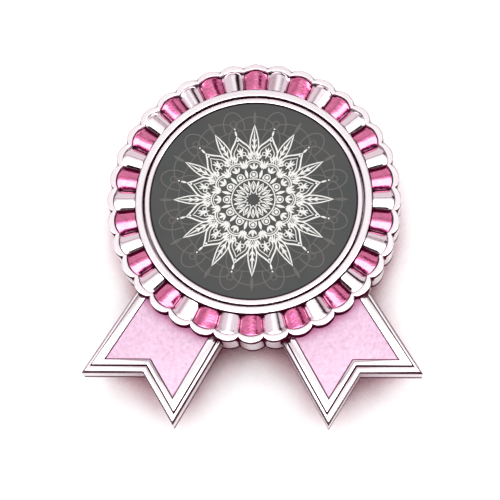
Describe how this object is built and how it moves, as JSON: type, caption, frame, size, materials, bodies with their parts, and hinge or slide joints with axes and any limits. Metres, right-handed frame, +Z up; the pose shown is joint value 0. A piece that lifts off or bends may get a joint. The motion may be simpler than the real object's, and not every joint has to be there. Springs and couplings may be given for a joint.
{
  "type": "award rosette brooch",
  "caption": "Flat metal brooch shaped like an award rosette with two ribbon tails, enamelled in pink, with a printed disc in its middle and a bar pin on its back.",
  "frame": {"origin": "on the table, below the middle of the brooch's bounding box, with the brooch lying face up on its pin", "axes": "+X to the right as the face is seen, +Y from the tails' tips towards the top of the rosette, +Z up, out of the face"},
  "size_m": [0.04, 0.0448, 0.0084],
  "materials": {
    "plated_casting": "cast zinc with bright silver plating",
    "ring_metal": "bright silver plating",
    "disc_print": "white print on grey under a clear coat",
    "hot_pink_enamel": "glossy soft enamel with fine glitter",
    "pale_pink_enamel": "glossy soft enamel with fine glitter",
    "pin_steel": "nickel-plated steel"
  },
  "bodies": {
    "root": {"casting": "plated_casting", "setting_ring": "ring_metal", "printed_disc": "disc_print", "left_tail_enamel": "pale_pink_enamel", "right_tail_enamel": "pale_pink_enamel", "bar_pin": "pin_steel", "flute_enamel_1": "hot_pink_enamel", "flute_enamel_2": "hot_pink_enamel", "flute_enamel_3": "hot_pink_enamel", "flute_enamel_4": "hot_pink_enamel", "flute_enamel_5": "hot_pink_enamel", "flute_enamel_6": "hot_pink_enamel", "flute_enamel_7": "hot_pink_enamel", "flute_enamel_8": "hot_pink_enamel", "flute_enamel_9": "hot_pink_enamel", "flute_enamel_10": "hot_pink_enamel", "flute_enamel_11": "hot_pink_enamel", "flute_enamel_12": "hot_pink_enamel", "flute_enamel_13": "hot_pink_enamel", "flute_enamel_14": "hot_pink_enamel", "flute_enamel_15": "hot_pink_enamel", "flute_enamel_16": "hot_pink_enamel", "flute_enamel_17": "hot_pink_enamel", "flute_enamel_18": "hot_pink_enamel"}
  },
  "joints": []
}
